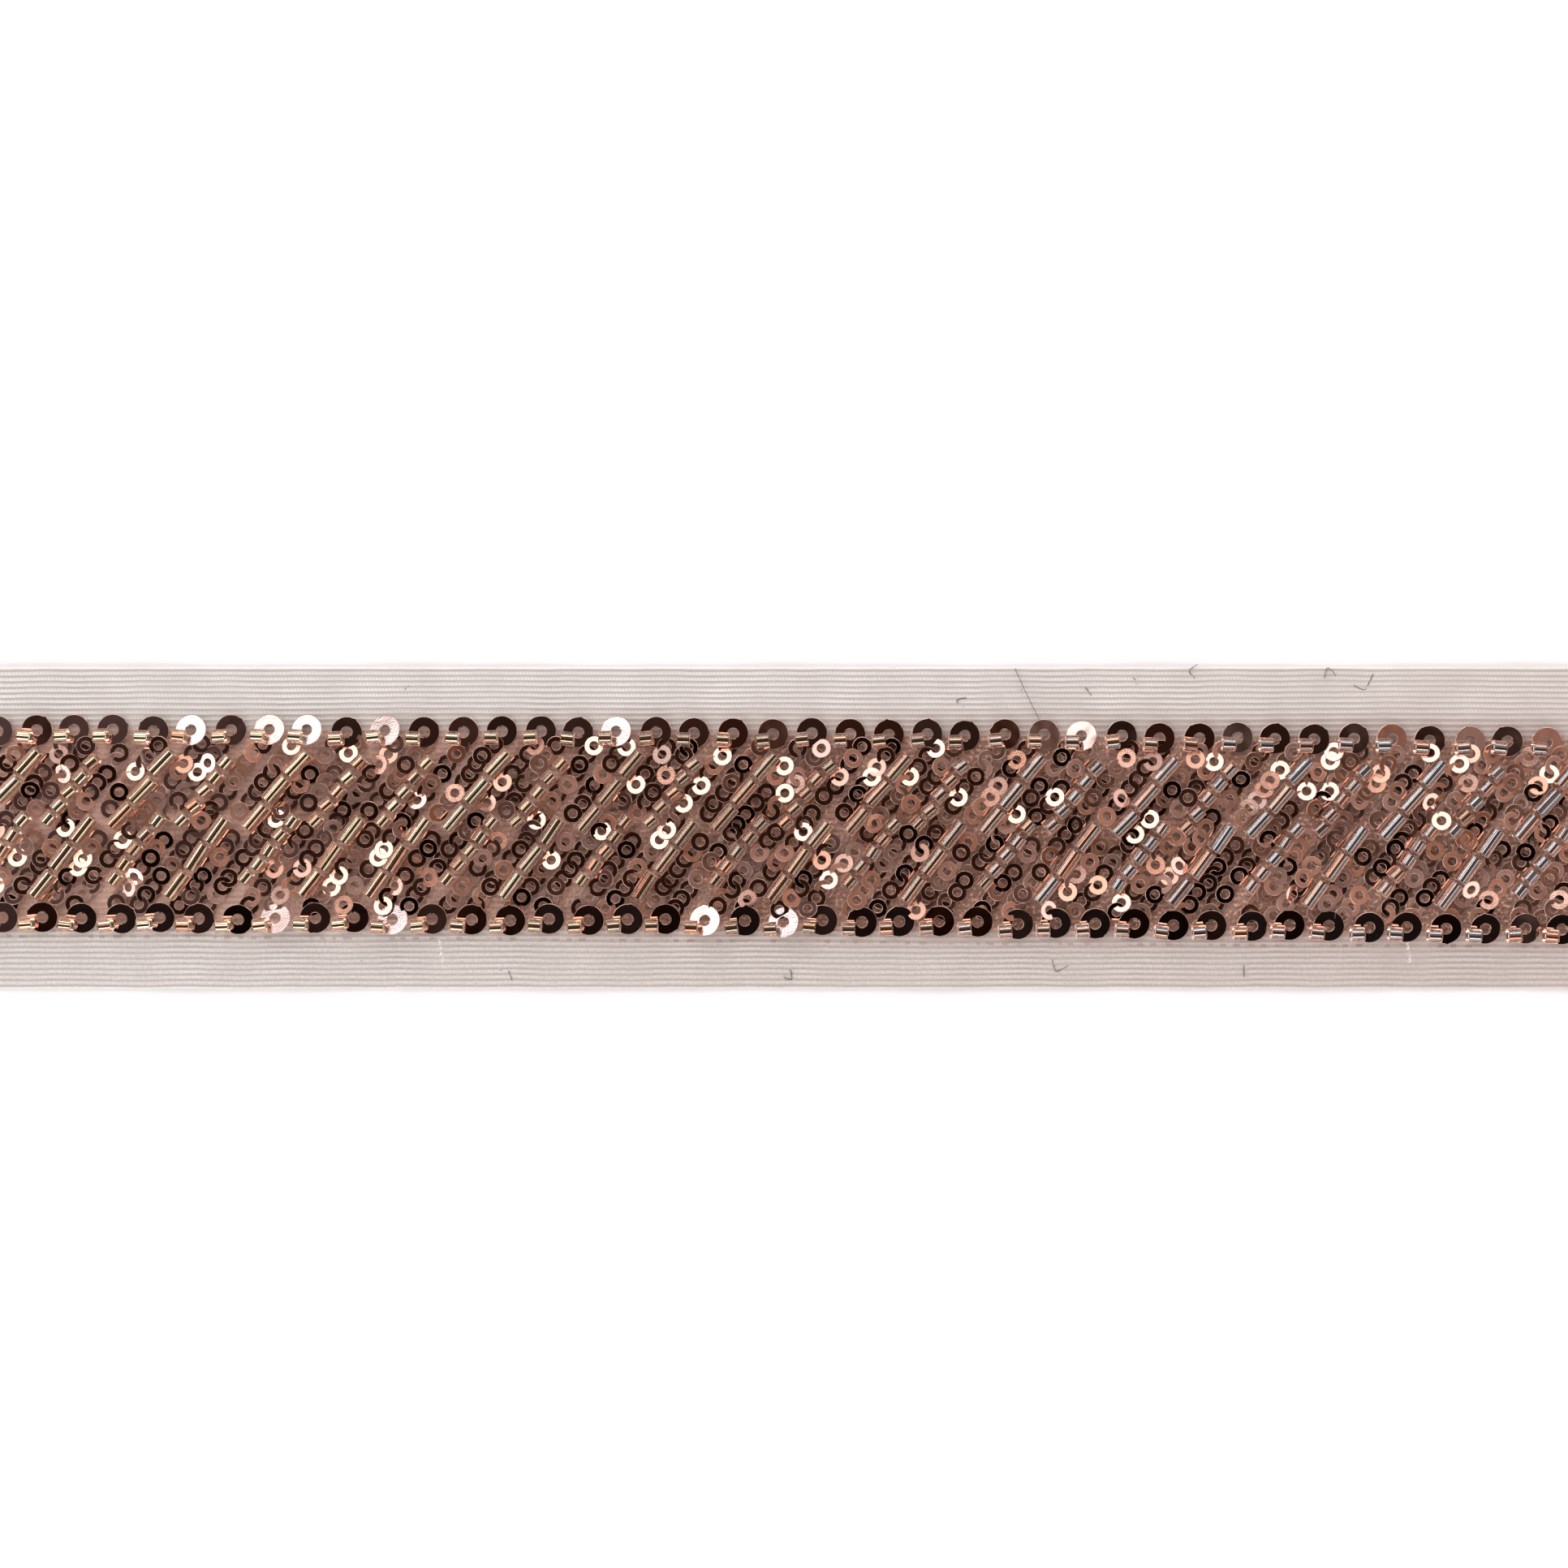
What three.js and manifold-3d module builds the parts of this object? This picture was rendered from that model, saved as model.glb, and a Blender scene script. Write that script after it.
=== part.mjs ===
// Sequin trim: a straight cut length of sheer ribbed net ribbon that lies flat, with a beaded band sewn
// along its middle. Millimetres, +X along the ribbon, +Y across it and +Z up out of its beaded face.
// The origin is on the underside, at the middle of the ribbon's length and width.

import * as THREE from 'three';
import { mergeVertices } from 'three/addons/utils/BufferGeometryUtils.js';
import Module from 'manifold-3d';

const wasm = await Module();
wasm.setup();

// Driving dimensions, in millimetres
const PIECE_GAP = 0.3;
const RIBBON = { length: 260, width: 51.8, thickness: 1, ribPitch: 0.89, ribHeight: 0.2 };
const THREAD = { width: 0.5, height: 0.3 };

// The beadwork lies just over the ribbon, and keeps the same gap from its cut ends
const SEAT_Z = RIBBON.thickness + PIECE_GAP;
const END_X = RIBBON.length / 2 - PIECE_GAP;

// The band isn't quite parallel to the ribbon: its middle line falls to the right, and bows a little
const BAND = { middleY: 0.15, slope: -0.0078, bow: -0.000032 };

// The two edge rows: large sequins side by side, each held by a short bead over the left of its hole
const ROW_Y = 15.1;
const LARGE_SEQUIN = { radius: 2.5, thickness: 0.5, sides: 8 };
const ROW_BEAD = { length: 2.1, height: 2.1, sides: 4, below: 1.04, sunk: 0.1 };
const ROW_THREAD_Z = SEAT_Z + 0.2;
const EDGE_ROWS = [
  { name: 'edge_row_upper', side: 1, pitch: 6.24, startX: -126.7, beadLeft: 1.66 },
  { name: 'edge_row_lower', side: -1, pitch: 6.28, startX: -125.7, beadLeft: 2.2 },
];

// The strings that cross the band slantwise, each an upper and a lower half with a step to the left
// between them. The spacing follows the string's own slant, and each bead's axis tilts a little from it.
const STRINGS = { count: 25, pitch: 10.76, startX: -121.7 };
const STRING_SLANT = THREE.MathUtils.degToRad(52.3);
const BEADS = {
  bugle: { length: 4.7, height: 2, sides: 6, count: 3, spacing: 5.48, tilt: { upper: 48, lower: 54 } },
  short: { length: 2, height: 2, sides: 4, count: 5, spacing: 2.88, tilt: { upper: 44, lower: 51 } },
};

// Where the first bead of each half lies, from the place of the string on the band's middle line
const FIRST_BEAD = {
  upper: { bugle: { x: 0.3, y: 9.9 }, short: { x: -0.3, y: 9.9 } },
  lower: { bugle: { x: -12.4, y: -0.9 }, short: { x: -11.3, y: 0.6 } },
};

// Bugle strings and short-bead strings take turns, and the order slips by one at the seventh string
const ORDER_SLIPS_AT = { upper: 6, lower: 7 };

// The lanes of small overlapping sequins that fill the band between two strings
const LANE = { halfHeight: 12.3, thickness: 0.5, sequinSpacing: 3.1, scallop: 0.45, flank: 1.58 };
const SMALLEST_LANE_VOLUME = 2;

// Colours of the finishes
const NET = new THREE.MeshStandardMaterial({ color: 0xe6dbd3, roughness: 0.7, metalness: 0 });
const LARGE_FOIL = new THREE.MeshStandardMaterial({ color: 0x4a3733, roughness: 0.15, metalness: 0.9 });
const SMALL_FOIL = new THREE.MeshStandardMaterial({ color: 0x8a665c, roughness: 0.2, metalness: 0.8 });
const BUGLE_GLASS = new THREE.MeshStandardMaterial({ color: 0xc9a08c, roughness: 0.1, metalness: 0.4 });
const SHORT_GLASS = new THREE.MeshStandardMaterial({ color: 0xbd8d78, roughness: 0.1, metalness: 0.4 });

// Turns local x, y and z into Y, Z and X, so that an extrusion runs along X
const ALONG_X = new THREE.Matrix4().makeBasis(
  new THREE.Vector3(0, 1, 0),
  new THREE.Vector3(0, 0, 1),
  new THREE.Vector3(1, 0, 0),
);

// The height of the band's middle line at x
function bandY(x) {
  return BAND.middleY + BAND.slope * x + BAND.bow * x * x;
}

// A closed three.js geometry as a solid that can be joined and cut
function toSolid(geometry) {
  geometry.deleteAttribute('normal');
  geometry.deleteAttribute('uv');
  const merged = mergeVertices(geometry);
  const mesh = new wasm.Mesh({
    numProp: 3,
    vertProperties: new Float32Array(merged.attributes.position.array),
    triVerts: new Uint32Array(merged.index.array),
  });
  return new wasm.Manifold(mesh);
}

// A joined or cut solid as a three.js geometry
function toGeometry(solid) {
  const mesh = solid.getMesh();
  const geometry = new THREE.BufferGeometry();
  geometry.setAttribute('position', new THREE.BufferAttribute(mesh.vertProperties, mesh.numProp));
  geometry.setIndex(new THREE.BufferAttribute(mesh.triVerts, 1));
  geometry.computeVertexNormals();
  return geometry;
}

function joined(geometries) {
  return toGeometry(geometries.map(toSolid).reduce((whole, piece) => whole.add(piece)));
}

function named(name, geometry, material) {
  const mesh = new THREE.Mesh(geometry, material);
  mesh.name = name;
  return mesh;
}

function regularShape(radius, sides, turn) {
  const points = [];
  for (let i = 0; i < sides; i += 1) {
    const angle = turn + (2 * Math.PI * i) / sides;
    points.push(new THREE.Vector2(radius * Math.cos(angle), radius * Math.sin(angle)));
  }
  return new THREE.Shape(points);
}

function extruded(shape, depth) {
  return new THREE.ExtrudeGeometry(shape, { depth, bevelEnabled: false });
}

// The distance from a bead's axis to its corners
function beadRadius({ height, sides }) {
  return height / 2 / Math.cos(Math.PI / sides);
}

// A bead with its axis along X, centred, with a flat side below
function beadGeometry(bead) {
  const firstCorner = Math.PI / 2 - Math.PI / bead.sides;
  const geometry = extruded(regularShape(beadRadius(bead), bead.sides, firstCorner), bead.length);
  return geometry.translate(0, 0, -bead.length / 2).applyMatrix4(ALONG_X);
}

// A straight stretch of thread from one point to another at one height
function threadGeometry(from, to, z) {
  const length = from.distanceTo(to);
  const geometry = new THREE.BoxGeometry(length, THREAD.width, THREAD.height);
  geometry.rotateZ(Math.atan2(to.y - from.y, to.x - from.x));
  return geometry.translate((from.x + to.x) / 2, (from.y + to.y) / 2, z);
}

// The ribbon: a flat strip whose upper face is raised in fine lengthwise ribs
function makeRibbon() {
  const { length, width, thickness, ribPitch, ribHeight } = RIBBON;
  const ribs = Math.round(width / ribPitch);
  const half = width / 2;
  const section = [new THREE.Vector2(-half, 0), new THREE.Vector2(half, 0)];
  for (let i = 0; i <= 2 * ribs; i += 1) {
    const z = i % 2 === 0 ? thickness - ribHeight : thickness;
    section.push(new THREE.Vector2(half - (i * width) / (2 * ribs), z));
  }
  const geometry = extruded(new THREE.Shape(section), length);
  return named('ribbon', geometry.translate(0, 0, -length / 2).applyMatrix4(ALONG_X), NET);
}

// An edge row: its sequins and beads, joined by the thread that runs through the beads' places
function makeEdgeRow({ name, side, pitch, startX, beadLeft }) {
  const { radius, thickness, sides } = LARGE_SEQUIN;
  const beadZ = SEAT_Z + thickness - ROW_BEAD.sunk + ROW_BEAD.height / 2;
  const pieces = [];
  let previous = null;
  for (let x = startX; x + radius < END_X; x += pitch) {
    const y = bandY(x) + side * ROW_Y;
    const sequin = extruded(regularShape(radius, sides, Math.PI / sides), thickness);
    pieces.push(sequin.translate(x, y, SEAT_Z));
    pieces.push(beadGeometry(ROW_BEAD).translate(x - beadLeft, y - ROW_BEAD.below, beadZ));
    const stitch = new THREE.Vector2(x, y - ROW_BEAD.below / 2);
    if (previous) pieces.push(threadGeometry(previous, stitch, ROW_THREAD_Z));
    previous = stitch;
  }
  return named(name, joined(pieces), LARGE_FOIL);
}

// The place of a string along the band's middle line
function stringX(index) {
  return STRINGS.startX + STRINGS.pitch * index;
}

// Which beads a half of a string has
function kindOf(half, index) {
  const turn = index < ORDER_SLIPS_AT[half] ? index : index + 1;
  return turn % 2 === 0 ? 'bugle' : 'short';
}

// Where a half of a string starts, from its first bead, and the step from each bead to the next
function halfLine(half, index) {
  const kind = kindOf(half, index);
  const bead = BEADS[kind];
  const x = stringX(index);
  const start = FIRST_BEAD[half][kind];
  const along = new THREE.Vector2(-Math.cos(STRING_SLANT), -Math.sin(STRING_SLANT));
  return {
    kind,
    bead,
    tilt: THREE.MathUtils.degToRad(bead.tilt[half]),
    first: new THREE.Vector2(x + start.x, bandY(x) + start.y),
    step: along.multiplyScalar(bead.spacing),
  };
}

// Half the room that a tilted bead takes along X and along Y
function beadReach({ bead, tilt }) {
  const along = bead.length / 2;
  return {
    x: along * Math.cos(tilt) + beadRadius(bead) * Math.sin(tilt),
    y: along * Math.sin(tilt) + beadRadius(bead) * Math.cos(tilt),
  };
}

// A string: the beads of both halves that lie inside the cut ends, on one thread
function makeString(index) {
  const places = ['upper', 'lower'].flatMap((half) => {
    const line = halfLine(half, index);
    const reachX = beadReach(line).x;
    const centres = Array.from({ length: line.bead.count }, (_, i) =>
      line.first.clone().addScaledVector(line.step, i),
    );
    return centres
      .filter((centre) => Math.abs(centre.x) + reachX < END_X)
      .map((centre) => ({ ...line, centre }));
  });
  const axisZ = SEAT_Z + places[0].bead.height / 2;
  const pieces = places.map(({ bead, tilt, centre }) =>
    beadGeometry(bead).rotateZ(tilt).translate(centre.x, centre.y, axisZ),
  );
  for (let i = 1; i < places.length; i += 1) {
    pieces.push(threadGeometry(places[i - 1].centre, places[i].centre, axisZ));
  }
  const kinds = new Set(places.map((place) => place.kind));
  const kind = kinds.size > 1 ? 'mixed' : places[0].kind;
  const material = kind === 'short' ? SHORT_GLASS : BUGLE_GLASS;
  return named(`${kind}_string_${numbered(index)}`, joined(pieces), material);
}

function numbered(index) {
  return String(index + 1).padStart(2, '0');
}

// The scalloped points down one flank of a lane, beside one half of a string, from topY to bottomY.
// outward is 1 where the lane lies right of the string and -1 where it lies left of it.
function flankPoints(line, outward, topY, bottomY) {
  const sequinDrop = LANE.sequinSpacing * Math.sin(STRING_SLANT);
  const sequins = Math.round((topY - bottomY) / sequinDrop);
  const points = [];
  for (let i = 0; i <= 2 * sequins; i += 1) {
    const y = topY + ((bottomY - topY) * i) / (2 * sequins);
    const lineX = line.first.x + (y - line.first.y) / Math.tan(STRING_SLANT);
    const inset = i % 2 === 0 ? LANE.scallop : 0;
    const away = (LANE.flank + inset) / Math.sin(STRING_SLANT);
    points.push(new THREE.Vector2(lineX + outward * away, y));
  }
  return points;
}

// One whole flank of a lane: beside the upper half of a string, then stepping over beside its lower half.
// Right of a string the step is under its upper half's end, and left of it over its lower half's top.
function laneFlank(index, outward) {
  const upper = halfLine('upper', index);
  const lower = halfLine('lower', index);
  const middle = bandY(stringX(index));
  const upperEnd = upper.first.y + upper.step.y * (upper.bead.count - 1) - beadReach(upper).y;
  const lowerTop = lower.first.y + beadReach(lower).y;
  const stepY = outward > 0 ? upperEnd - PIECE_GAP : lowerTop + PIECE_GAP;
  return [
    ...flankPoints(upper, outward, middle + LANE.halfHeight, stepY),
    ...flankPoints(lower, outward, stepY, middle - LANE.halfHeight),
  ];
}

// A lane between string number index and the next one, cut off at the ribbon's ends
function makeLane(index) {
  const outline = [...laneFlank(index, 1), ...laneFlank(index + 1, -1).reverse()];
  const plate = extruded(new THREE.Shape(outline), LANE.thickness).translate(0, 0, SEAT_Z);
  const ends = new THREE.BoxGeometry(2 * END_X, RIBBON.width, RIBBON.width);
  const solid = toSolid(plate).intersect(toSolid(ends));
  if (solid.volume() < SMALLEST_LANE_VOLUME) return null;
  return named(`sequin_lane_${numbered(index + 1)}`, toGeometry(solid), SMALL_FOIL);
}

const trim = new THREE.Group();
trim.add(makeRibbon());
EDGE_ROWS.forEach((row) => trim.add(makeEdgeRow(row)));
for (let i = 0; i < STRINGS.count; i += 1) {
  trim.add(makeString(i));
}
for (let i = -1; i < STRINGS.count; i += 1) {
  const lane = makeLane(i);
  if (lane) trim.add(lane);
}

export default trim;
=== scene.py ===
"""A flat cut length of sequin trim, dressed for its portrait from straight above.

A sheer net ribbon with fine lengthwise ribs carries a beaded band: an edge row of large sequins on each
side, and between them slanting strings of glass beads with lanes of small ring sequins. Sizes are in
millimetres in the ribbon's own frame, +X along it, +Y across it and +Z up, and meshes are made in metres.
"""

import logging
import math
import random
from collections.abc import Iterator, Mapping, Sequence
from dataclasses import dataclass, field
from enum import Enum
from typing import Any

import bmesh
import bpy
from mathutils import Matrix, Vector


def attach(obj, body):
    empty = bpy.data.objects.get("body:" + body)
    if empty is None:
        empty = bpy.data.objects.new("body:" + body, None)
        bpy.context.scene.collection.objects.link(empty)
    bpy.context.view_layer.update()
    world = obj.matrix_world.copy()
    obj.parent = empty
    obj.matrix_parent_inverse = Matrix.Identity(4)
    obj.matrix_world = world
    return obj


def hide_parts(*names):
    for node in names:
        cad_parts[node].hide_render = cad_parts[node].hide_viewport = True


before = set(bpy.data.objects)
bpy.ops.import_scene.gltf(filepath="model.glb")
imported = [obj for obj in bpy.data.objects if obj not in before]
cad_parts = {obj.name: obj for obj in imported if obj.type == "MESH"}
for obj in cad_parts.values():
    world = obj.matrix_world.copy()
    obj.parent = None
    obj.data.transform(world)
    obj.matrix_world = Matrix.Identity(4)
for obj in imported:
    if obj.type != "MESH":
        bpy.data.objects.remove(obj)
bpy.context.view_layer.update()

MM = 0.001
TURN = 2 * math.pi
LOG = logging.getLogger("sequin_trim")
Colour = tuple[float, float, float]

# A face lies flat when its normal's z is at least this
FLAT_Z = 0.99

# A wave: its height, its rates along and across in radians a millimetre, and its start in radians
Wave = tuple[float, float, float, float]

# Where the camera stands, and which way the soft lamp is from the trim
EYE = Vector((0.0, 7.11, 352.0))
LAMP = Vector((-0.354, 0.354, 0.866))


class BeadKind(Enum):
    """The two lengths of glass bead that are strung across the band."""

    BUGLE = "bugle"
    SHORT = "short"


class Half(Enum):
    """The two halves of a slanting string."""

    UPPER = "upper"
    LOWER = "lower"


def glinting(at: Vector, chance: random.Random, spread: float) -> tuple[float, float]:
    """How a sequin leans to throw the lamp's light into the picture.

    Args:
        at: The sequin's centre.
        chance: The random numbers to use.
        spread: How far off it may be, in degrees.

    Returns:
        The lean and the direction in plan that it leans toward, in radians.
    """
    normal = ((EYE - at).normalized() + LAMP).normalized()
    lean = math.acos(normal.z) + math.radians(chance.gauss(0, spread))
    return lean, math.atan2(normal.y, normal.x) + math.radians(chance.gauss(0, spread * 4))


def nudged(chance: random.Random, reach: float) -> Vector:
    """A small random shift in plan."""
    return Vector((chance.uniform(-reach, reach), chance.uniform(-reach, reach), 0.0))


def rippled(waves: Sequence[Wave], x: float, y: float) -> float:
    """The sum of some waves at a point in plan."""
    return sum(height * math.sin(x * dx + y * dy + start) for height, dx, dy, start in waves)


# The layout of the beadwork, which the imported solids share


@dataclass(frozen=True)
class BeadSize:
    """One kind of bead and how it is strung.

    Args:
        length: The bead's length.
        radius: Its outer radius.
        bore: The radius of its hole.
        sides: How many sides its mesh has.
        wobble: How far its angle strays at most, in degrees.
        count: How many are on each half of a string.
        spacing: From one bead's centre to the next.
        tilt: Each half's angle of a bead's axis above +X, in degrees.
        start: Each half's first bead, from the string's place on the band's middle line.
    """

    length: float
    radius: float
    bore: float
    sides: int
    wobble: float
    count: int
    spacing: float
    tilt: Mapping[Half, float]
    start: Mapping[Half, tuple[float, float]]

    def reach_y(self, half: Half) -> float:
        """Half the room that a tilted bead takes across the ribbon."""
        tilt = math.radians(self.tilt[half])
        return self.length / 2 * math.sin(tilt) + self.radius * math.cos(tilt)


@dataclass(frozen=True)
class Place:
    """Where one bead or sequin lies, and which way it faces.

    Args:
        centre: Its centre.
        turn: The angle of its own X axis above +X, in radians.
        lean: How far its face leans over, in radians.
        toward: The direction in plan that the leaning face turns to, in radians.
    """

    centre: Vector
    turn: float
    lean: float = 0.0
    toward: float = 0.0

    def matrix(self) -> Matrix:
        """The transform, in metres, that takes a template at the origin to this place."""
        axis = Vector((-math.sin(self.toward), math.cos(self.toward), 0.0))
        lean = Matrix.Rotation(self.lean, 4, axis)
        return Matrix.Translation(self.centre * MM) @ lean @ Matrix.Rotation(self.turn, 4, "Z")


@dataclass(frozen=True)
class Band:
    """The beaded band: its middle line and the strings that cross it."""

    half_length: float = 130.0
    end_margin: float = 0.3
    middle_y: float = 0.15
    slope: float = -0.0078
    bow: float = -0.000032
    strings: int = 25
    pitch: float = 10.76
    start_x: float = -121.7
    slant: float = math.radians(52.3)
    slips_at: Mapping[Half, int] = field(default_factory=lambda: {Half.UPPER: 6, Half.LOWER: 7})
    sizes: Mapping[BeadKind, BeadSize] = field(
        default_factory=lambda: {
            BeadKind.BUGLE: BeadSize(
                length=4.7,
                radius=1.13,
                bore=0.58,
                sides=16,
                wobble=3.0,
                count=3,
                spacing=5.48,
                tilt={Half.UPPER: 48.0, Half.LOWER: 54.0},
                start={Half.UPPER: (0.3, 9.9), Half.LOWER: (-12.4, -0.9)},
            ),
            BeadKind.SHORT: BeadSize(
                length=2.0,
                radius=1.13,
                bore=0.58,
                sides=16,
                wobble=6.0,
                count=5,
                spacing=2.88,
                tilt={Half.UPPER: 44.0, Half.LOWER: 51.0},
                start={Half.UPPER: (-0.3, 9.9), Half.LOWER: (-11.3, 0.6)},
            ),
        }
    )

    def y_at(self, x: float) -> float:
        """The height of the band's middle line at x."""
        return self.middle_y + self.slope * x + self.bow * x * x

    def string_x(self, index: int) -> float:
        """The place of a string along the band."""
        return self.start_x + self.pitch * index

    def kind(self, half: Half, index: int) -> BeadKind:
        """Which beads one half of a string has: the kinds take turns, and slip by one."""
        turn = index if index < self.slips_at[half] else index + 1
        return BeadKind.BUGLE if turn % 2 == 0 else BeadKind.SHORT

    def size(self, half: Half, index: int) -> BeadSize:
        """The size of the beads on one half of a string."""
        return self.sizes[self.kind(half, index)]

    def first(self, half: Half, index: int) -> Vector:
        """The plan place of the first bead of one half of a string."""
        x = self.string_x(index)
        dx, dy = self.size(half, index).start[half]
        return Vector((x + dx, self.y_at(x) + dy))

    def line_x(self, half: Half, index: int, y: float) -> float:
        """Where the line of one half of a string passes at the height y."""
        first = self.first(half, index)
        return first.x + (y - first.y) / math.tan(self.slant)

    def step_y(self, index: int, side: int) -> float:
        """The height at which the row beside a string steps from its upper to its lower half.

        Args:
            index: The string.
            side: 1 for the row right of it and -1 for the row left of it.

        Returns:
            Under the upper half's end on the right, and over the lower half's top on the left.
        """
        if side > 0:
            size = self.size(Half.UPPER, index)
            drop = size.spacing * (size.count - 1) * math.sin(self.slant)
            return self.first(Half.UPPER, index).y - drop - size.reach_y(Half.UPPER)
        return self.first(Half.LOWER, index).y + self.size(Half.LOWER, index).reach_y(Half.LOWER)

    def inside(self, x: float, reach: float) -> bool:
        """Whether a thing that reaches so far from x lies between the cut ends."""
        return abs(x) + reach < self.half_length - self.end_margin

    def bead_centres(self, half: Half, index: int) -> Iterator[Vector]:
        """The plan places of one half string's whole beads."""
        size = self.size(half, index)
        tilt = math.radians(size.tilt[half])
        reach = size.length / 2 * math.cos(tilt) + size.radius * math.sin(tilt)
        step = Vector((-math.cos(self.slant), -math.sin(self.slant))) * size.spacing
        first = self.first(half, index)
        for count in range(size.count):
            centre = first + step * count
            if self.inside(centre.x, reach):
                yield centre


# Shader building


class Wire:
    """An output of a shader node. Arithmetic on it adds Math nodes."""

    def __init__(self, graph: "Graph", node: bpy.types.Node, name: str | None = None) -> None:
        """Takes the node's named output, or else its first live one if it has any."""
        self.graph = graph
        self.node = node
        live = [s for s in node.outputs if s.enabled and (name is None or s.name == name)]
        self.socket = live[0] if live else None

    def out(self, name: str) -> "Wire":
        """Another output of the same node."""
        return Wire(self.graph, self.node, name)

    def _math(self, operation: str, *values: Any) -> "Wire":
        """A Math node on one or two values."""
        return self.graph.node("ShaderNodeMath", {"operation": operation}, dict(enumerate(values)))

    def __add__(self, other: Any) -> "Wire":
        """self + other."""
        return self._math("ADD", self, other)

    __radd__ = __add__

    def __sub__(self, other: Any) -> "Wire":
        """self - other."""
        return self._math("SUBTRACT", self, other)

    def __rsub__(self, other: Any) -> "Wire":
        """other - self."""
        return self._math("SUBTRACT", other, self)

    def __mul__(self, other: Any) -> "Wire":
        """self * other."""
        return self._math("MULTIPLY", self, other)

    __rmul__ = __mul__

    def sine(self) -> "Wire":
        """The sine of the value."""
        return self._math("SINE", self)

    def floor(self) -> "Wire":
        """The whole number below the value."""
        return self._math("FLOOR", self)

    def __abs__(self) -> "Wire":
        """The value without its sign."""
        return self._math("ABSOLUTE", self)

    def ramp(self, low: float, high: float, to_low: float = 0.0, to_high: float = 1.0) -> "Wire":
        """A smooth step from to_low at low to to_high at high."""
        return self.graph.node(
            "ShaderNodeMapRange",
            {"interpolation_type": "SMOOTHSTEP"},
            {"Value": self, "From Min": low, "From Max": high, "To Min": to_low, "To Max": to_high},
        )


class Graph:
    """The node tree of one material or world."""

    def __init__(self, tree: bpy.types.NodeTree) -> None:
        """Empties the tree."""
        self.tree = tree
        tree.nodes.clear()

    def node(
        self,
        kind: str,
        settings: Mapping[str, Any] | None = None,
        sockets: Mapping[str | int, Any] | None = None,
    ) -> Wire:
        """Adds a node.

        Args:
            kind: The node's type.
            settings: Its own settings, which are set first.
            sockets: What goes into its inputs, by name or number: a wire, a number or a colour.

        Returns:
            Its first output.
        """
        node = self.tree.nodes.new(kind)
        for name, value in (settings or {}).items():
            setattr(node, name, value)
        for name, value in (sockets or {}).items():
            live = [s for i, s in enumerate(node.inputs) if s.enabled and name in (s.name, i)]
            self._feed(live[0], value)
        return Wire(self, node)

    def _feed(self, socket: bpy.types.NodeSocket, value: Any) -> None:
        """Links a wire to an input, or sets the input's own value."""
        if isinstance(value, Wire):
            self.tree.links.new(value.socket, socket)
        elif socket.type == "RGBA" and len(value) == 3:
            socket.default_value = (*value, 1.0)
        else:
            socket.default_value = value

    def mix(self, factor: Any, low: Any, high: Any) -> Wire:
        """A colour between low and high."""
        sockets = {"Factor": factor, "A": low, "B": high}
        return self.node("ShaderNodeMix", {"data_type": "RGBA"}, sockets)

    def place(self) -> Wire:
        """The place on the piece, in metres."""
        return self.node("ShaderNodeTexCoord").out("Object")

    def look(self) -> tuple[Wire, Wire]:
        """The two numbers that each copy in a heap carries."""
        look = self.node("ShaderNodeAttribute", {"attribute_name": "look"})
        split = self.node("ShaderNodeSeparateColor", {}, {"Color": look})
        return split.out("Red"), split.out("Green")

    def noise(self, vector: Wire, scale: float, detail: float) -> Wire:
        """A soft noise value from 0 to 1."""
        return self.node("ShaderNodeTexNoise", {}, {"Vector": vector, "Scale": scale, "Detail": detail})

    def bump(self, height: Wire, depth: float, strength: float) -> Wire:
        """A normal bent by a height, with depth in metres."""
        sockets = {"Height": height, "Distance": depth, "Strength": strength}
        return self.node("ShaderNodeBump", {}, sockets)


# Finishes


class Finish:
    """A surface's look. Each kind says what goes into one Principled shader."""

    name: str

    def material(self) -> bpy.types.Material:
        """Makes the material."""
        material = bpy.data.materials.new(self.name)
        material.use_nodes = True
        graph = Graph(material.node_tree)
        shader = graph.node("ShaderNodeBsdfPrincipled", {}, self._paint(graph))
        graph.node("ShaderNodeOutputMaterial", {}, {"Surface": shader})
        return material

    def _paint(self, graph: Graph) -> dict[str, Any]:
        """The shader's inputs, by name."""
        raise NotImplementedError


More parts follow.
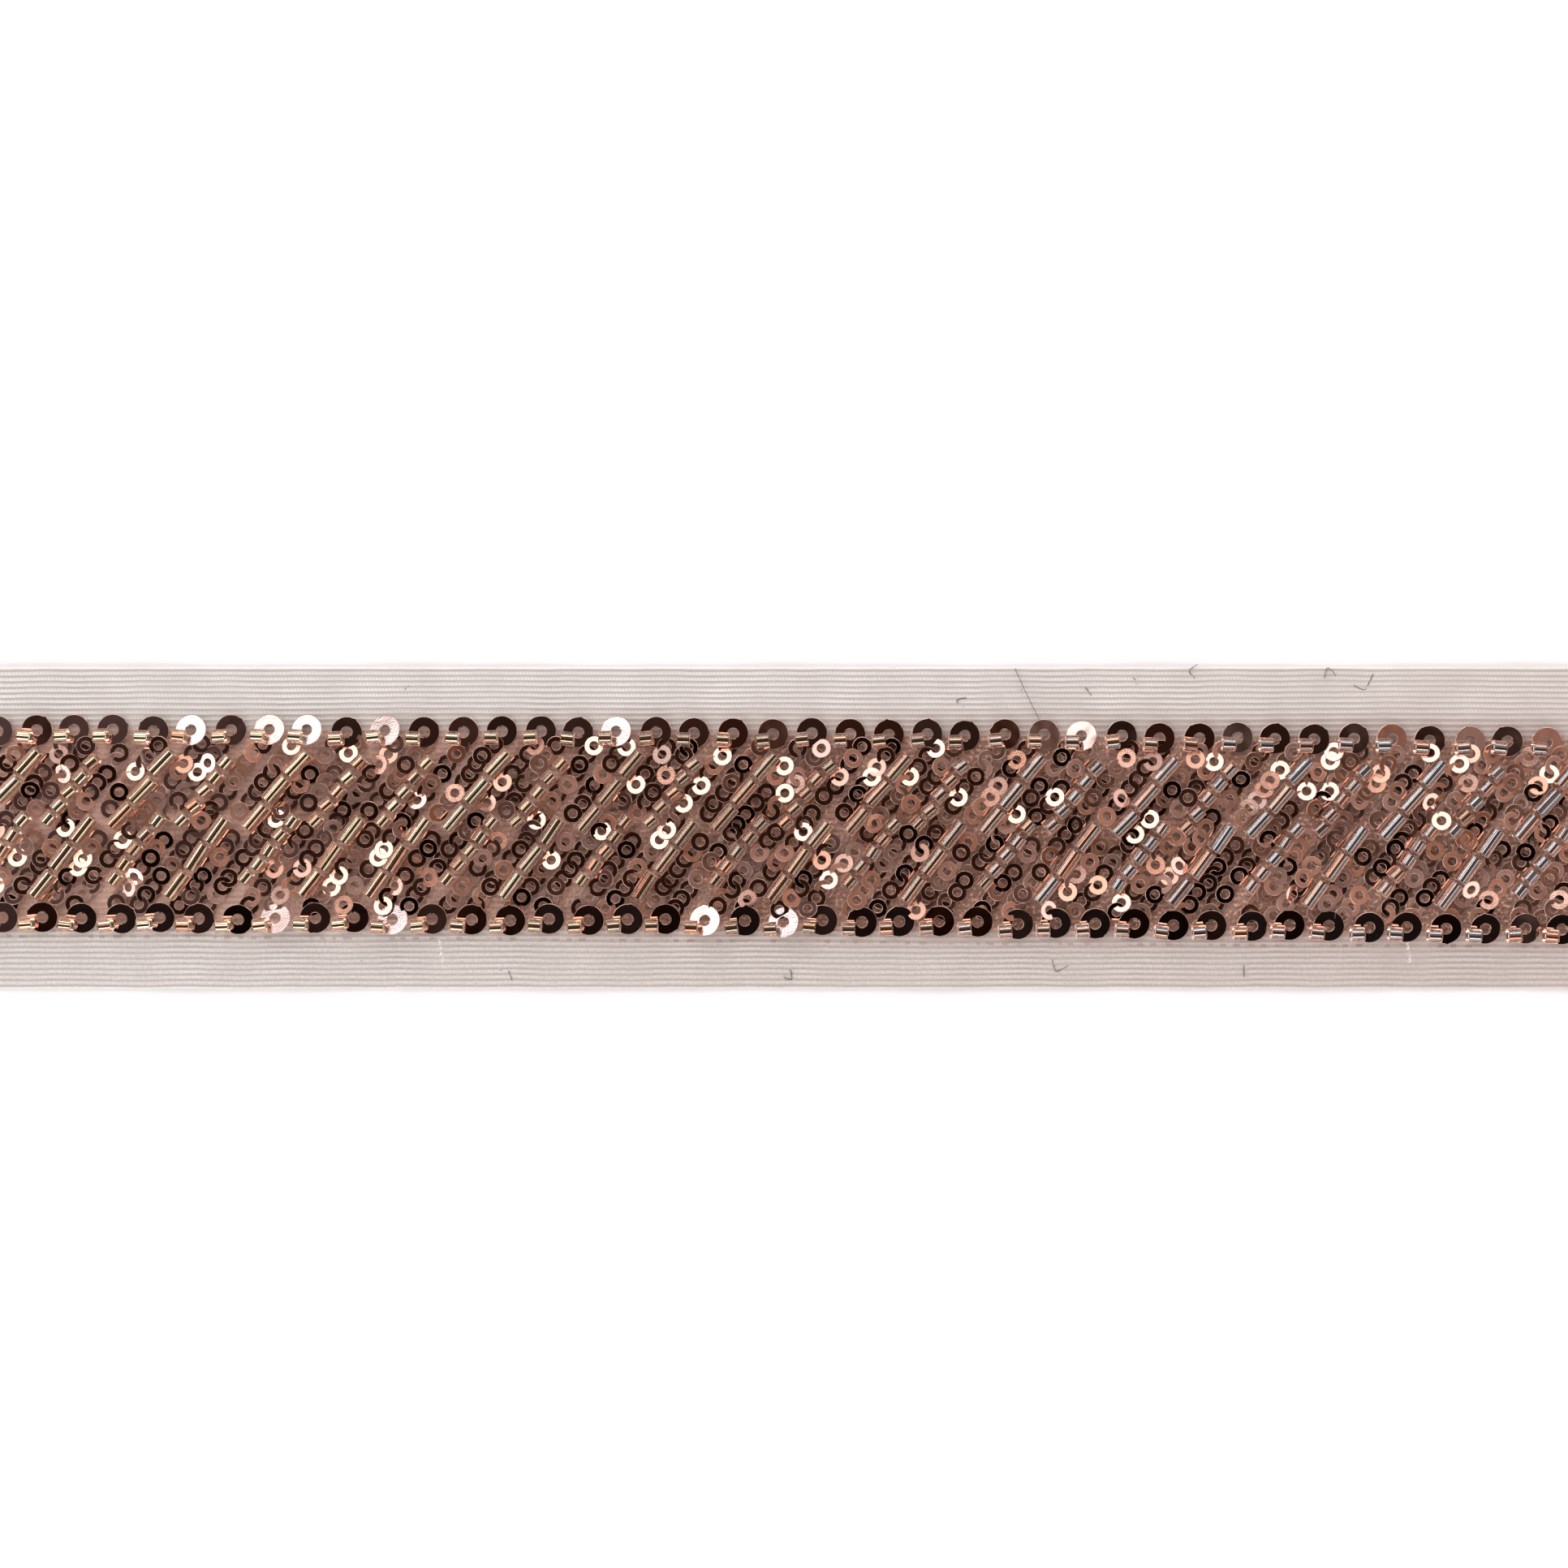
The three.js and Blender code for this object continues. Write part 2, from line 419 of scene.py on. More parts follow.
@dataclass(frozen=True)
class NetFinish(Finish):
    """Sheer off-white net with bright ribs, darker between them, with painted shade and pink bounce light
    under and beside the beadwork and painted glints under it.

    Scales are in patterns a millimetre, and the other sizes in millimetres.
    """

    rib_pitch: float
    name: str = "sheer_net"
    blob_pitch: float = 0.57
    wander_scale: float = 0.11
    slub_scale: float = 2.1
    patch_scale: float = 0.16
    glint_scale: float = 1.7
    thread_depth: float = 0.04
    band_y: float = -0.6
    band_half_width: float = 15.8
    band_blur: float = 1.2
    band_slope: float = 0.0078
    stitch_y: float = -18.3
    stitch_pitch: float = 1.1
    rib: Colour = (0.805, 0.785, 0.75)
    gap: Colour = (0.575, 0.55, 0.515)
    # Painted pink bounce light and shade on the margins beside the band
    bounce_pink: Colour = (0.50, 0.39, 0.35)
    # Painted shade under the beadwork, which also colours the stitch dashes, then painted pink bounce
    # light from the beads
    band_brown: Colour = (0.25, 0.12, 0.085)
    painted_bounce_light: Colour = (0.68, 0.465, 0.39)
    # Painted orange glints of light thrown by the beads
    glint: Colour = (1.0, 0.60, 0.40)
    # Painted highlight along the creases
    lit: Colour = (1.0, 0.94, 0.92)
    creases: tuple[float, float] = (-58.2, 98.0)
    crease_slant: float = 0.14
    crease_y: float = -20.0

    def _paint(self, graph: Graph) -> dict[str, Any]:
        """The net's colour, openness and relief, from its own cloth map in millimetres."""
        cloth = graph.node("ShaderNodeUVMap", {"uv_map": "cloth"})
        split = graph.node("ShaderNodeSeparateXYZ", {}, {"Vector": cloth})
        along, across = split.out("X"), split.out("Y")
        wander = graph.noise(cloth, self.wander_scale, 2.0)
        slub = graph.noise(cloth, self.slub_scale, 4.0)
        patch = graph.noise(cloth, self.patch_scale, 3.0)
        upper = across.ramp(-18.0, 18.0, 0.3, 0.75)
        beside = across + along * self.band_slope
        # Ribs, with blobs along them
        line = across * (1 / self.rib_pitch) + wander * 0.5
        rib = ((line * TURN).sine() * 0.5 + 0.5).ramp(0.0, 0.6)
        step = along * (1 / self.blob_pitch) + line.floor() * 0.37 + patch
        blob = (step * TURN).sine() * 0.5 + 0.5
        uneven = (slub - 0.5) * (1.25 - upper)
        bright = rib * 0.62 + blob * rib * patch * upper * 0.6 + uneven + patch * 0.3 - 0.17
        bare = graph.mix(bright, self.gap, self.rib)
        # Painted pink bounce light and shade beside the band, the painted shade growing toward the lower
        # edge and the right end, over a faint even tint of the whole margin; a line of stitches; and
        # painted highlights along two creases
        bounce_and_shade = abs(beside).ramp(16.0, 20.5, 0.5, 0.10) - beside * 0.004 + along * 0.0019
        bare = graph.mix(bounce_and_shade, bare, self.bounce_pink)
        dash = (along * (math.pi / self.stitch_pitch) + patch * 12.0).sine().ramp(0.0, 0.5)
        stitch = abs(beside - self.stitch_y).ramp(0.1, 0.4, 0.4, 0.0) * patch.ramp(0.42, 0.56)
        bare = graph.mix(stitch * dash, bare, self.band_brown)
        # Painted highlights along the two creases on the lower margin
        slanted = along + across * self.crease_slant
        crease_highlights = [abs(slanted - at).ramp(0.0, 0.45, 1.0, 0.0) for at in self.creases]
        strip = abs(across - self.crease_y).ramp(1.5, 2.6, 1.0, 0.0)
        bare = graph.mix((crease_highlights[0] + crease_highlights[1]) * strip * slub.ramp(0.45, 0.6), bare, self.lit)
        # Painted shade, pink bounce light and orange glints under the beads, lighter toward the left end
        # and with more glints toward the right
        wear_and_shade = rib * 0.09 + slub * 0.9 + patch * 0.6 + along.ramp(-120.0, 10.0, 0.46, -0.18) - 0.32
        band_brown = graph.mix(wear_and_shade, self.band_brown, self.painted_bounce_light)
        glints = graph.noise(cloth, self.glint_scale, 2.0).ramp(0.53, 0.66)
        band_brown = graph.mix(glints * along.ramp(-60.0, 70.0, 0.45, 0.9), band_brown, self.glint)
        inner, outer = self.band_half_width - self.band_blur, self.band_half_width + self.band_blur
        under = abs(beside - self.band_y).ramp(inner, outer, 1.0, 0.0)
        relief = rib + blob * upper * 0.3 + slub * 0.3
        return {
            "Base Color": graph.mix(under, bare, band_brown),
            "Roughness": 0.62,
            "Alpha": bright * 0.2 + under * 0.05 + 0.80,
            "Normal": graph.bump(relief, self.thread_depth * MM, 0.5),
            "Sheen Weight": 0.25,
            "Sheen Roughness": 0.4,
            "Specular IOR Level": 0.35,
        }


@dataclass(frozen=True)
class FoilFinish(Finish):
    """Mirror-bright foil on a punched plastic disc, on some rubbed down to bare tinted film.

    Each sequin carries two numbers in its "look" attribute: how bare its film is, and its tint.
    """

    name: str
    foil: Colour
    warm: Colour
    film: Colour
    warm_film: Colour
    roughness: float
    film_roughness: float
    film_metal: float
    film_alpha: float
    glitter: float
    scuff_scale: float = 2600.0
    warp_scale: float = 260.0
    glitter_scale: float = 5200.0

    def _paint(self, graph: Graph) -> dict[str, Any]:
        """Colour and gloss from each sequin's own look, with fine scuffs."""
        bare, tint = graph.look()
        place = graph.place()
        scuff = graph.noise(place, self.scuff_scale, 3.0)
        warp = graph.noise(place, self.warp_scale, 1.0)
        grain = graph.node("ShaderNodeTexVoronoi", {}, {"Vector": place, "Scale": self.glitter_scale})
        foil = graph.mix(tint, self.foil, self.warm)
        relief = warp * 5.0 + grain * bare * self.glitter + scuff * 0.08
        return {
            "Base Color": graph.mix(bare, foil, graph.mix(tint, self.film, self.warm_film)),
            "Metallic": 1.0 - bare * (1 - self.film_metal),
            "Roughness": scuff * 0.03 + bare * self.film_roughness + self.roughness,
            "Alpha": 1.0 - bare * (1 - self.film_alpha),
            "Normal": graph.bump(relief, 0.00002, 0.8),
            "IOR": 1.5,
        }


@dataclass(frozen=True)
class CutEdgeFinish(Finish):
    """The cut edge of a sequin, where its clear plastic catches the light."""

    name: str = "cut_edge"
    colour: Colour = (0.70, 0.48, 0.38)

    def _paint(self, graph: Graph) -> dict[str, Any]:
        """A waxy peach, a little uneven."""
        place = graph.place()
        uneven = graph.noise(place, 900.0, 2.0).ramp(0.3, 0.7)
        return {
            "Base Color": graph.mix(uneven, tuple(c * 0.3 for c in self.colour), self.colour),
            "Roughness": 0.25,
            "IOR": 1.5,
        }


@dataclass(frozen=True)
class GlassFinish(Finish):
    """Rose glass of a bead."""

    name: str = "rose_glass"
    tint: Colour = (0.97, 0.67, 0.52)
    edge: Colour = (1.0, 0.72, 0.58)

    def _paint(self, graph: Graph) -> dict[str, Any]:
        """Clear glass, a little uneven in tint from bead to bead."""
        _, tint = graph.look()
        deep = tuple(c * c for c in self.tint)
        return {
            "Base Color": graph.mix(tint * 0.5, self.tint, deep),
            "Roughness": 0.02,
            "Transmission Weight": 0.975,
            "IOR": 1.5,
            "Sheen Weight": 0.9,
            "Sheen Tint": self.edge,
            "Sheen Roughness": 0.33,
        }


@dataclass(frozen=True)
class LiningFinish(Finish):
    """The silver lining of a bead's hole, with rosy and dark streaks along it.

    Each bead carries two numbers in its "look" attribute: how cool the painted light in its silver is, and
    its own pattern.
    """

    name: str = "silver_lining"
    silver: Colour = (0.28, 0.46, 0.64)
    smoky: Colour = (0.28, 0.34, 0.30)
    golden: Colour = (0.62, 0.86, 0.76)
    rosy: Colour = (0.56, 0.38, 0.28)
    dark: Colour = (0.11, 0.055, 0.04)
    wide_streaks: float = 7.0
    fine_streaks: float = 23.0

    def _paint(self, graph: Graph) -> dict[str, Any]:
        """Bright metal whose streaks lie at their own turns round each bead."""
        around = graph.node("ShaderNodeUVMap", {"uv_map": "around"})
        turn = graph.node("ShaderNodeSeparateXYZ", {}, {"Vector": around}).out("X")
        cool_light, own = graph.look()
        ring = graph.node("ShaderNodeCombineXYZ", {}, {"X": turn, "Y": own * 40.0})
        wide = graph.noise(ring, self.wide_streaks, 1.0)
        fine = graph.noise(ring, self.fine_streaks, 2.0)
        # Painted light: the silver's tone shifts from golden at the left end through smoky to cool silver
        # at the right, by the bead's place
        metal = graph.mix(cool_light.ramp(0.0, 0.5), self.golden, self.smoky)
        metal = graph.mix(cool_light.ramp(0.5, 1.0), metal, self.silver)
        metal = graph.mix(wide.ramp(0.53, 0.63), metal, self.rosy)
        return {
            "Base Color": graph.mix(fine.ramp(0.58, 0.63), metal, self.dark),
            "Metallic": 1.0,
            "Roughness": 0.06,
        }


@dataclass(frozen=True)
class FibreFinish(Finish):
    """A thin dark hair."""

    name: str = "lint"
    colour: Colour = (0.07, 0.055, 0.05)

    def _paint(self, graph: Graph) -> dict[str, Any]:
        """An uneven colour along the fibre."""
        place = graph.place()
        uneven = graph.noise(place, 700.0, 2.0)
        return {
            "Base Color": graph.mix(uneven, self.colour, tuple(c * 0.7 for c in self.colour)),
            "Roughness": 0.6,
        }


@dataclass(frozen=True)
class FloorFinish(Finish):
    """A plain pale studio floor."""

    name: str = "pale_floor"
    colour: Colour = (0.93, 0.93, 0.93)

    def _paint(self, graph: Graph) -> dict[str, Any]:
        """A matt, hardly mottled white."""
        place = graph.place()
        mottle = graph.noise(place, 6.0, 2.0)
        return {
            "Base Color": graph.mix(mottle, self.colour, tuple(c * 0.99 for c in self.colour)),
            "Roughness": 0.9,
            "Specular IOR Level": 0.1,
        }


# Mesh building


def mesh_of(shape: bmesh.types.BMesh, name: str) -> bpy.types.Mesh:
    """Turns a bmesh into a mesh and frees it."""
    mesh = bpy.data.meshes.new(name)
    shape.to_mesh(mesh)
    shape.free()
    return mesh


def spun(name: str, profile: Sequence[tuple[float, float]], axis: Vector, steps: int) -> bpy.types.Mesh:
    """A closed ring made by turning a closed profile about an axis through the origin.

    Args:
        name: The mesh's name.
        profile: The (along the axis, out from it) corners, in millimetres, in order round it.
        axis: The unit axis.
        steps: How many sides the ring has.

    Returns:
        The mesh, with its faces pointing out.
    """
    out = axis.orthogonal().normalized()
    shape = bmesh.new()
    corners = [shape.verts.new((axis * along + out * away) * MM) for along, away in profile]
    edges = [shape.edges.new((a, b)) for a, b in zip(corners, corners[1:] + corners[:1])]
    bmesh.ops.spin(
        shape, geom=corners + edges, cent=(0, 0, 0), axis=axis, angle=TURN, steps=steps, use_merge=True
    )
    bmesh.ops.remove_doubles(shape, verts=shape.verts[:], dist=1e-7)
    bmesh.ops.recalc_face_normals(shape, faces=shape.faces[:])
    for face in shape.faces:
        face.smooth = True
    return mesh_of(shape, name)


def punched(name: str, hole: float, radius: float, sheet: float, rim: float, sides: int) -> bpy.types.Mesh:
    """A sequin about Z: a thin flat disc with a round hole and both of its edges bevelled.

    Args:
        name: The mesh's name.
        hole: The radius of its hole.
        radius: Its outer radius.
        sheet: Its thickness.
        rim: The width of its bevels in plan.
        sides: How many sides it has.

    Returns:
        The mesh, with the bevels in its second slot.
    """
    half = sheet / 2
    profile = [(-half, hole), (-half, radius), (half, radius - rim), (half, hole + rim)]
    disc = spun(name, profile, Vector((0, 0, 1)), sides)
    for face in disc.polygons:
        bevel = abs(face.normal.z) < FLAT_Z
        face.use_smooth = bevel
        face.material_index = int(bevel)
    return disc


@dataclass
class Heap:
    """Many copies of small templates, joined in one mesh.

    Args:
        name: The piece's name.
        materials: The finishes, in the order of the templates' slots.
    """

    name: str
    materials: Sequence[bpy.types.Material]
    sharp_angle: float = math.radians(31)
    shape: bmesh.types.BMesh = field(default_factory=bmesh.new)

    def __post_init__(self) -> None:
        """Adds the attribute that carries each copy's own look, and the map round a bead."""
        self.look = self.shape.verts.layers.float_color.new("look")
        self.shape.loops.layers.uv.new("around")

    def add(
        self, template: bpy.types.Mesh, matrix: Matrix, look: tuple[float, float] = (0.0, 0.0)
    ) -> None:
        """Adds a copy of a template.

        Args:
            template: The mesh to copy, with its own smoothing and slots of the heap's finishes.
            matrix: Where it goes.
            look: The two numbers that its finish reads.
        """
        before = len(self.shape.verts)
        self.shape.from_mesh(template)
        self.shape.verts.ensure_lookup_table()
        verts = self.shape.verts[before:]
        bmesh.ops.transform(self.shape, matrix=matrix, verts=verts)
        for vert in verts:
            vert[self.look] = (*look, 0.0, 1.0)

    def finish(self, slot: str, replaced: Sequence[str] = ()) -> None:
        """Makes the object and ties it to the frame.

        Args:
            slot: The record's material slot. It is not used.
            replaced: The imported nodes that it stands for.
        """
        mesh = mesh_of(self.shape, self.name)
        for material in self.materials:
            mesh.materials.append(material)
        mesh.set_sharp_from_angle(angle=self.sharp_angle)
        settled(self.name, mesh, replaced)


def settled(name: str, mesh: bpy.types.Mesh, replaced: Sequence[str] = ()) -> bpy.types.Object:
    """Makes an object of a finished mesh, rides it on the trim and reports it.

    Args:
        name: The piece's name.
        mesh: Its mesh, in place.
        replaced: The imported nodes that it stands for.

    Returns:
        The object.
    """
    piece = bpy.data.objects.new(name, mesh)
    bpy.context.scene.collection.objects.link(piece)
    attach(piece, "root")
    if replaced:
        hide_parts(*replaced)
    LOG.info("%s: %d faces, stands for %d nodes", name, len(mesh.polygons), len(replaced))
    return piece


def nodes_named(*starts: str) -> list[str]:
    """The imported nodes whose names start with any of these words."""
    return sorted(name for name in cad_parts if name.startswith(starts))


# Sub-assemblies


@dataclass
class Ribbon:
    """The sheer net ribbon, a thin ribbed sheet that drops toward the floor along its bare margins."""

    width: float = 51.8
    length: float = 260.0
    thickness: float = 0.22
    ribs: int = 58
    steps_per_rib: int = 4
    steps_along: int = 150
    rib_height: float = 0.055
    raised_z: float = 0.80
    margin_z: float = 0.29
    flat_half_width: float = 16.5
    creases: tuple[float, float] = (-60.9, 95.3)
    crease_width: float = 0.5
    crease_height: float = 0.16
    swell_waves: tuple[Wave, ...] = ((0.06, 0.11, 0.05, 0.0), (0.04, 0.31, -0.21, 1.0))
    drift_reach: float = 0.16
    drift_waves: tuple[Wave, ...] = ((1.0, 0.045, 0.16, 0.0), (0.6, 0.12, -0.3, 2.0))

    def height(self, x: float, y: float) -> float:
        """The height of the net's middle surface over the floor."""
        fall = (abs(y) - self.flat_half_width) / (self.width / 2 - self.flat_half_width)
        fall = min(max(fall, 0.0), 1.0)
        fall = fall * fall * (3 - 2 * fall)
        base = self.raised_z + (self.margin_z - self.raised_z) * fall
        rib = self.rib_height * math.cos(TURN * self.ribs * (y / self.width + 0.5) + math.pi)
        crease = 0.0
        if y < -self.flat_half_width:
            crease = sum(math.exp(-(((x - at) / self.crease_width) ** 2)) for at in self.creases)
        return base + rib + rippled(self.swell_waves, x, y) + self.crease_height * crease

    def drift(self, x: float, y: float) -> float:
        """How far the ribs wander sideways, nothing at the two straight edges."""
        free = 1 - (2 * y / self.width) ** 2
        return self.drift_reach * free * rippled(self.drift_waves, x, y)

    def build(self) -> None:
        """Makes the ribbon from one edge of points, drawn out along its length, then shaped."""
        shape = bmesh.new()
        across = self.ribs * self.steps_per_rib
        edge_x = -self.length / 2
        heights = [self.width * (i / across - 0.5) for i in range(across + 1)]
        chain = [shape.verts.new((edge_x, y, 0.0)) for y in heights]
        edges = [shape.edges.new(pair) for pair in zip(chain, chain[1:])]
        step = (self.length / self.steps_along, 0, 0)
        bmesh.ops.spin(
            shape,
            geom=chain + edges,
            cent=(0, 0, 0),
            axis=(0, 0, 1),
            angle=0,
            steps=self.steps_along,
            dvec=step,
        )
        cloth = shape.loops.layers.uv.new("cloth")
        for face in shape.faces:
            face.smooth = True
            for loop in face.loops:
                loop[cloth].uv = loop.vert.co.xy
        for vert in shape.verts:
            x, y, _ = vert.co
            vert.co = Vector((x, y + self.drift(x, y), self.height(x, y))) * MM
        bmesh.ops.recalc_face_normals(shape, faces=shape.faces[:])
        mesh = mesh_of(shape, "net_ribbon")
        mesh.materials.append(NetFinish(rib_pitch=self.width / self.ribs).material())
        ribbon = settled("net_ribbon", mesh, nodes_named("ribbon"))
        solid = ribbon.modifiers.new("thickness", "SOLIDIFY")
        solid.thickness = self.thickness * MM
        solid.offset = 0.0


@dataclass
class BeadMaker:
    """Makes the glass beads, whose holes are silvered inside and have flat sides."""

    glass: bpy.types.Material
    lining: bpy.types.Material
    mouth: float = 0.32
    taper: float = 0.12
    # How the painted light in the silver cools along the trim
    cool_light_over: float = 160.0
    cool_light_middle: float = 0.55

    def template(self, name: str, length: float, radius: float, bore: float, sides: int) -> bpy.types.Mesh:
        """A bead along X: a smooth glass tube round a faceted silver bore.

        Args:
            name: The mesh's name.
            length: The bead's length.
            radius: Its outer radius.
            bore: The radius of its bore, which narrows at both mouths.
            sides: How many sides it has.

        Returns:
            The bead's mesh, with the silver in its second slot.
        """
        end, mouth, shoulder = length / 2, self.mouth, length / 2 - self.taper
        outside = [(-end, mouth), (-end, radius), (end, radius), (end, mouth)]
        profile = outside + [(shoulder, bore), (-shoulder, bore)]
        bead = spun(name, profile, Vector((1, 0, 0)), sides)
        inner = {v.index for v in bead.vertices if Vector(v.co.yz).length < (radius + bore) / 2 * MM}
        around = bead.uv_layers.new(name="around").data
        for face in bead.polygons:
            if inner.issuperset(face.vertices):
                face.material_index = 1
                face.use_smooth = False
            middle = math.atan2(face.center.z, face.center.y)
            for corner, index in zip(face.loop_indices, face.vertices):
                co = bead.vertices[index].co
                turn = middle + math.remainder(math.atan2(co.z, co.y) - middle, TURN)
                around[corner].uv = turn / TURN, co.x / (length * MM)
        return bead

    def heap(self, name: str) -> Heap:
        """An empty heap for beads."""
        return Heap(name, (self.glass, self.lining))

    def add(self, heap: Heap, template: bpy.types.Mesh, place: Place, chance: random.Random) -> None:
        """Adds one bead to a heap, rolled at random, with painted light in its silver, golden at the left
        end and cooler toward the right.
        """
        roll = Matrix.Rotation(chance.uniform(0, TURN), 4, "X")
        cool_light = min(max(place.centre.x / self.cool_light_over + self.cool_light_middle, 0.0), 1.0)
        heap.add(template, place.matrix() @ roll, (cool_light, chance.random()))


@dataclass
class Strings:
    """The slanting strings of bugle beads and short beads."""

    band: Band
    maker: BeadMaker
    rest_z: float = 1.2
    stray: float = 0.15
    lean: float = 2.5
    seed: int = 11

    def build(self) -> None:
        """Makes the two heaps of beads."""
        chance = random.Random(self.seed)
        heaps = {kind: self.maker.heap(f"{kind.value}_beads") for kind in BeadKind}
        templates = {
            kind: self.maker.template(kind.value, size.length, size.radius, size.bore, size.sides)
            for kind, size in self.band.sizes.items()
        }
        for index in range(self.band.strings):
            for half in Half:
                kind = self.band.kind(half, index)
                for centre in self.band.bead_centres(half, index):
                    place = self._place(chance, kind, half, centre)
                    self.maker.add(heaps[kind], templates[kind], place, chance)
        heaps[BeadKind.BUGLE].finish("bugle_beads", nodes_named("bugle_string", "mixed_string"))
        heaps[BeadKind.SHORT].finish("short_beads", nodes_named("short_string"))

    def _place(self, chance: random.Random, kind: BeadKind, half: Half, centre: Vector) -> Place:
        """Where a bead lies, a little out of line as sewn beads are."""
        size = self.band.sizes[kind]
        turn = math.radians(size.tilt[half] + chance.uniform(-size.wobble, size.wobble))
        middle = Vector((centre.x, centre.y, self.rest_z + size.radius)) + nudged(chance, self.stray)
        return Place(middle, turn, math.radians(chance.uniform(-self.lean, self.lean)), turn)


@dataclass
class EdgeRow:
    """One edge row: large sequins side by side, each under a short bead at the left of its hole.

    Args:
        side: 1 for the upper row and -1 for the lower.
        bright: Which sequins throw the lamp's light, counted from the left.
        leans: The least and the most that the others lean, in degrees.
        toward: The direction in plan that they lean toward, in degrees, give or take the spread.
        past_lamp: How much further than the lamp asks the bright ones lean, in degrees.
        outer_burr: Where the punch drew the edge: the growth, and its turn and width in radians.
    """

    name: str
    node: str
    band: Band
    maker: BeadMaker
    foils: Sequence[bpy.types.Material]
    side: int
    pitch: float
    start_x: float
    bead_left: float
    bright: Sequence[int]
    leans: tuple[float, float]
    toward: float
    spread: float
    seed: int
    past_lamp: float = 3.0
    row_y: float = 15.1
    radius: float = 2.5
    hole: float = 0.875
    sheet: float = 0.14
    rim: float = 0.08
    rest_z: float = 1.3
    bead_below: float = 1.04
    bead_length: float = 2.1
    bead_radius: float = 1.14
    bead_bore: float = 0.58
    bead_sides: int = 16
    bead_turn: float = 7.0
    sides: int = 40
    stray: float = 0.2
    rise_share: float = 0.6
    wear_and_shade: tuple[float, float] = (0.0, 0.1)
    bright_worn: tuple[float, float] = (0.45, 0.8)
    outer_burr: tuple[float, float, float] = (1.06, 0.0, 0.1)
    inner_burr: tuple[float, float, float] = (0.75, 2.0, 0.15)

    def build(self) -> None:
        """Makes the row's sequins and its beads."""
        chance = random.Random(self.seed)
        sequin = punched(f"{self.name}_disc", self.hole, self.radius, self.sheet, self.rim, self.sides)
        self._add_burrs(sequin)
        bead = self.maker.template(
            self.name, self.bead_length, self.bead_radius, self.bead_bore, self.bead_sides
        )
        sequins = Heap(f"{self.name}_sequins", self.foils)
        beads = self.maker.heap(f"{self.name}_beads")
        count = 0
        x = self.start_x
        while x + self.radius < self.band.half_length - self.band.end_margin:
            place, look, seat = self._unit(chance, x, count in self.bright)
            sequins.add(sequin, place.matrix(), look)
            self.maker.add(beads, bead, seat, chance)
            count += 1
            x += self.pitch
        sequins.finish("large_sequins", [self.node])
        beads.finish("short_beads")

    def _add_burrs(self, sequin: bpy.types.Mesh) -> None:
        """Draws one corner of the outer edge out and one of the hole's edge in, as a blunt punch does."""
        for vert in sequin.vertices:
            away = Vector(vert.co.xy)
            outer = away.length > (self.radius + self.hole) / 2 * MM
            grown, turn, width = self.outer_burr if outer else self.inner_burr
            if (away.angle_signed(Vector((1, 0))) + turn) % TURN < width:
                vert.co.xy = away * grown

    def _unit(
        self, chance: random.Random, x: float, bright: bool
    ) -> tuple[Place, tuple[float, float], Place]:
        """Where one sequin and its bead lie.

        Args:
            chance: The row's own random numbers.
            x: The sequin's place along the row.
            bright: Whether it throws the lamp's light.

        Returns:
            The sequin's place, its look, and the bead's place.
        """
        y = self.band.y_at(x) + self.side * self.row_y
        centre = Vector((x, y, self.rest_z)) + nudged(chance, self.stray)
        lean = math.radians(chance.uniform(*self.leans))
        toward = math.radians(self.toward + chance.uniform(-self.spread, self.spread))
        if bright:
            lean, toward = glinting(centre, chance, 1.0)
            lean += math.radians(self.past_lamp)
        rise = self.radius * math.sin(lean) * self.rise_share
        centre.z += rise
        place = Place(centre, chance.uniform(0, TURN), lean, toward)
        wear_and_shade = chance.uniform(*(self.bright_worn if bright and x < 0 else self.wear_and_shade))
        look = (wear_and_shade, chance.random() ** 2)
        bead_z = self.rest_z + rise + self.sheet / 2 + self.bead_radius
        shift = Vector((-self.bead_left, -self.bead_below, bead_z - centre.z))
        turn = math.radians(chance.uniform(-self.bead_turn, self.bead_turn))
        return place, look, Place(centre + shift, turn)


